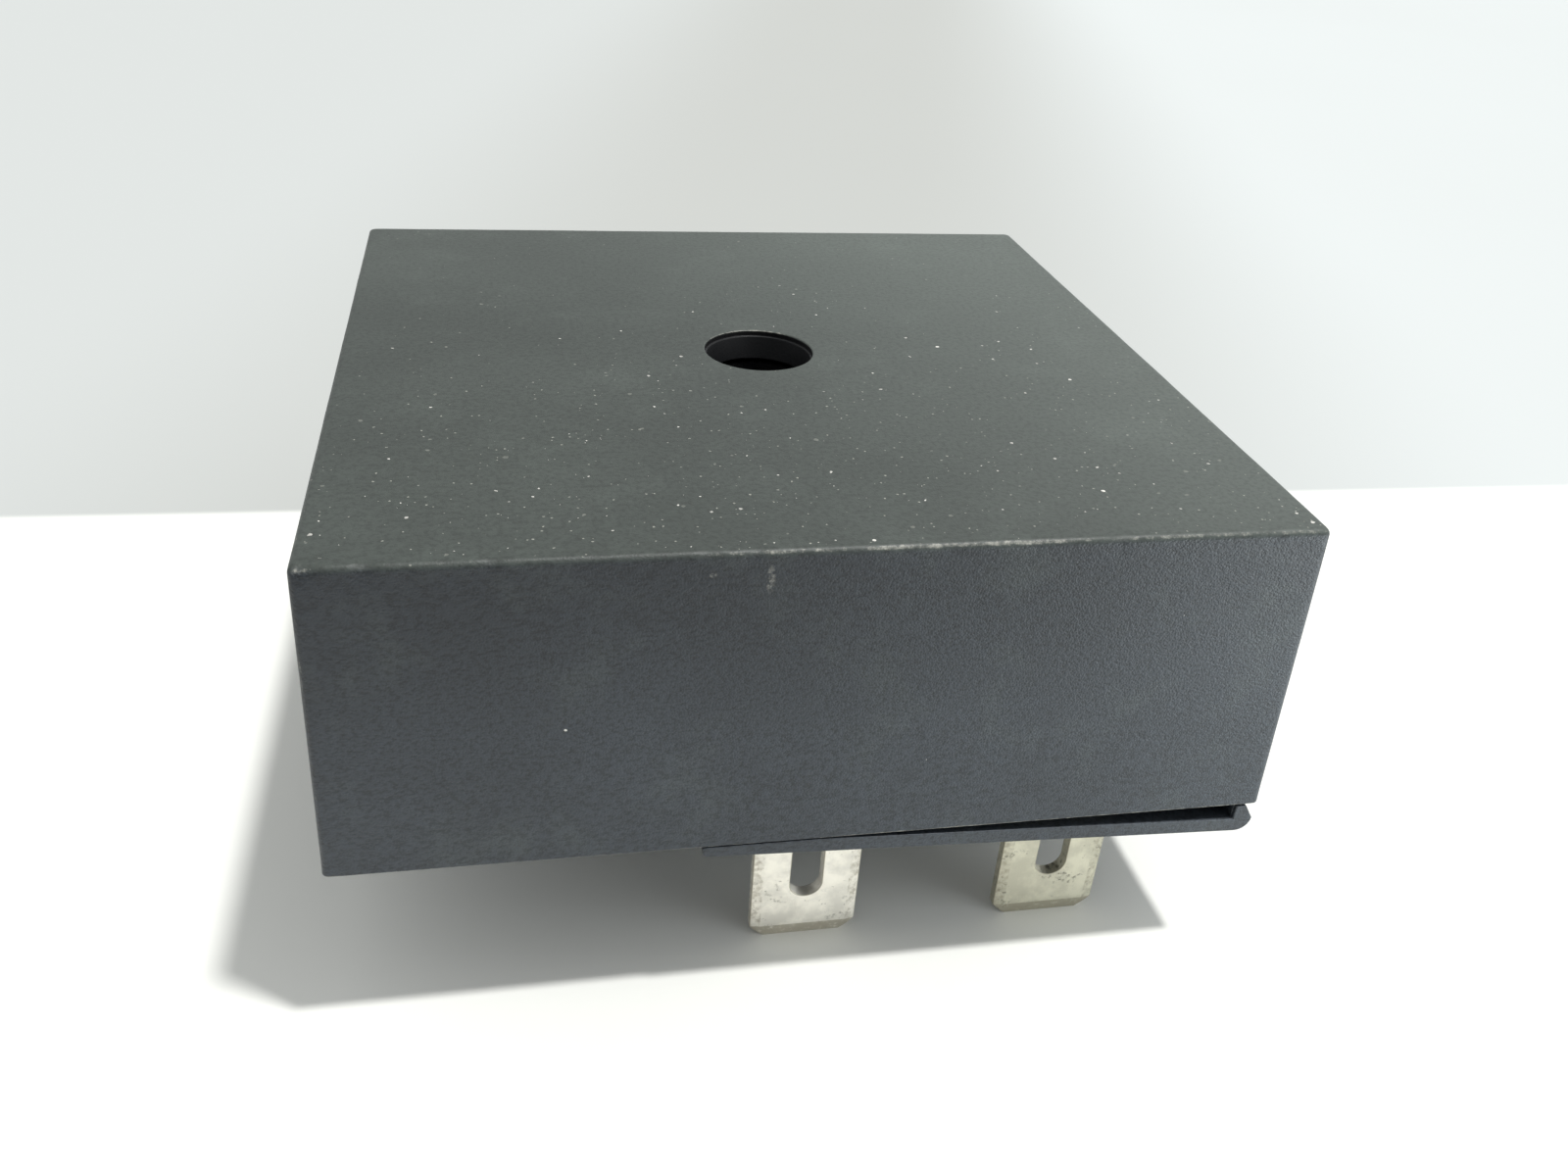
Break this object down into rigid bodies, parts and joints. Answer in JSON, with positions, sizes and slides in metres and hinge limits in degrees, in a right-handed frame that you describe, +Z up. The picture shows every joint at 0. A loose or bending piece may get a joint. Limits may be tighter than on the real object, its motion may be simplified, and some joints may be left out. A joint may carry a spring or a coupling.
{
  "type": "plug-in relay",
  "caption": "Square plug-in relay module: drafted moulded housing with a central screw hole, warped base cover, slotted quick-connect blades, and a changeover relay on a board inside.",
  "frame": {"origin": "level with the blade tips, under the middle of the hold-down hole", "axes": "+Z up through the hold-down hole, +X to the right along the front, +Y to the back"},
  "size_m": [0.0508, 0.0508, 0.028],
  "materials": {
    "slate_moulding": "dark slate-grey moulded plastic with a fine sparked grain",
    "sleeve_plastic": "black moulded plastic",
    "board_laminate": "glass-epoxy laminate",
    "tinned_brass": "dull bright-tinned brass, stamped",
    "relay_cover_plastic": "blue moulded dust cover",
    "relay_plastic": "natural nylon",
    "relay_iron": "nickel-plated soft iron",
    "enamelled_copper": "enamelled copper wire, wound",
    "spring_bronze": "phosphor bronze strip",
    "contact_silver": "silver alloy",
    "diode_epoxy": "black moulded epoxy",
    "can_sleeve": "shrink sleeve on a can",
    "capacitor_case": "yellow moulded case",
    "resistor_enamel": "flameproof enamel",
    "varistor_coat": "dipped epoxy coat"
  },
  "bodies": {
    "module": {"housing": "slate_moulding", "base_cover": "slate_moulding", "mounting_sleeve": "sleeve_plastic", "circuit_board": "board_laminate", "terminal_blade_1": "tinned_brass", "terminal_blade_2": "tinned_brass", "terminal_blade_3": "tinned_brass", "terminal_blade_4": "tinned_brass", "terminal_blade_5": "tinned_brass", "relay_cover": "relay_cover_plastic", "relay_base": "relay_plastic", "yoke": "relay_iron", "core": "relay_iron", "coil_bobbin": "relay_plastic", "coil_winding": "enamelled_copper", "coil_pin_1": "tinned_brass", "coil_pin_2": "tinned_brass", "return_spring": "spring_bronze", "normally_open_arm": "spring_bronze", "normally_open_contact": "contact_silver", "normally_closed_arm": "spring_bronze", "normally_closed_contact": "contact_silver", "rectifier_diode_1": "diode_epoxy", "rectifier_diode_2": "diode_epoxy", "rectifier_diode_3": "diode_epoxy", "rectifier_diode_4": "diode_epoxy", "flyback_diode": "diode_epoxy", "smoothing_capacitor": "can_sleeve", "film_capacitor": "capacitor_case", "inrush_resistor": "resistor_enamel", "bleed_resistor": "resistor_enamel", "varistor": "varistor_coat"},
    "flap": {"armature": "relay_iron", "contact_spring": "spring_bronze", "moving_contact": "contact_silver"}
  },
  "joints": [
    {"name": "armature_tilt", "type": "hinge", "parent": "module", "child": "flap", "pos_m": [0.0169, -0.00565, 0.0164], "axis": [-1, 0, 0], "range_deg": [0, 5], "stiffness_Nm_per_rad": 0.002}
  ]
}
